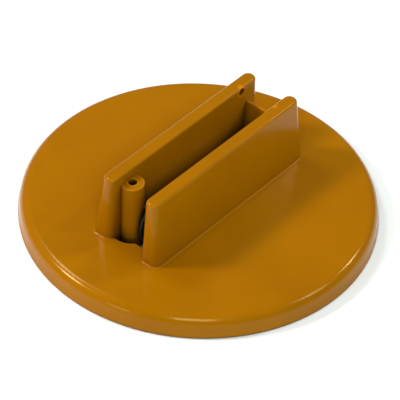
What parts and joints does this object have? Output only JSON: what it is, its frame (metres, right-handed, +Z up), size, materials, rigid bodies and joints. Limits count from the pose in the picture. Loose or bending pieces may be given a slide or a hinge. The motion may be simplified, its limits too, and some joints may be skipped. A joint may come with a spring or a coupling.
{
  "type": "ice fishing tip up",
  "caption": "Round insulated ice-hole cover with a two-wall channel that holds a folding reel shaft, line spool, trip rod and stowed signal flag.",
  "frame": {"origin": "centre of the round cover, on the surface it stands on", "axes": "+Z up, +X along the channel from the post end to the closed end, +Y towards the wall that carries the post"},
  "size_m": [0.3, 0.3, 0.08],
  "materials": {
    "orange_plastic": "glossy amber-orange moulding",
    "grey_foam": "closed-cell insulation foam",
    "black_plastic": "satin moulded",
    "zinc_steel": "zinc plated",
    "steel": "stainless, drawn",
    "brass": "turned",
    "braided_line": "braided line, waxed",
    "flag_fabric": "woven nylon"
  },
  "bodies": {
    "cover": {"cover_shell": "orange_plastic", "insulation_foam": "grey_foam", "bottom_pan": "black_plastic", "pan_screw_1": "zinc_steel", "pan_screw_2": "zinc_steel", "pan_screw_3": "zinc_steel", "pan_screw_4": "zinc_steel", "pan_screw_5": "zinc_steel", "pan_screw_6": "zinc_steel", "pivot_pin": "steel", "pivot_ring_front": "steel", "pivot_ring_back": "steel", "pivot_spacer_front": "black_plastic", "pivot_spacer_back": "black_plastic", "staff_hook_near": "black_plastic", "staff_hook_far": "black_plastic"},
    "shaft": {"reel_shaft": "black_plastic", "rod_bush": "brass", "spool_axle": "steel", "axle_washer": "steel", "drag_washer": "brass"},
    "trip": {"trip_rod": "steel", "trigger_bar": "black_plastic"},
    "spool": {"spool": "black_plastic", "line_winding": "braided_line"},
    "drag": {"drag_nut": "brass"},
    "flag": {"flag_ferrule": "black_plastic", "flag_staff": "steel", "flag_cloth": "flag_fabric"}
  },
  "joints": [
    {"name": "shaft_fold", "type": "hinge", "parent": "cover", "child": "shaft", "pos_m": [0.05, 0, 0.0255], "axis": [0, -1, 0], "range_deg": [0, 90]},
    {"name": "spool_spin", "type": "hinge", "parent": "shaft", "child": "spool", "pos_m": [-0.052, 0, 0.0285], "axis": [0, 1, 0], "continuous": true},
    {"name": "trip_turn", "type": "hinge", "parent": "shaft", "child": "trip", "pos_m": [0, 0.0045, 0.0325], "axis": [1, 0, 0], "range_deg": [-30, 30]},
    {"name": "drag_turn", "type": "hinge", "parent": "shaft", "child": "drag", "pos_m": [-0.052, 0, 0.0285], "axis": [0, 1, 0], "range_deg": [-180, 180]},
    {"name": "flag_lift", "type": "slide", "parent": "cover", "child": "flag", "axis": [0, 0, 1], "range_m": [0, 0.06]}
  ]
}
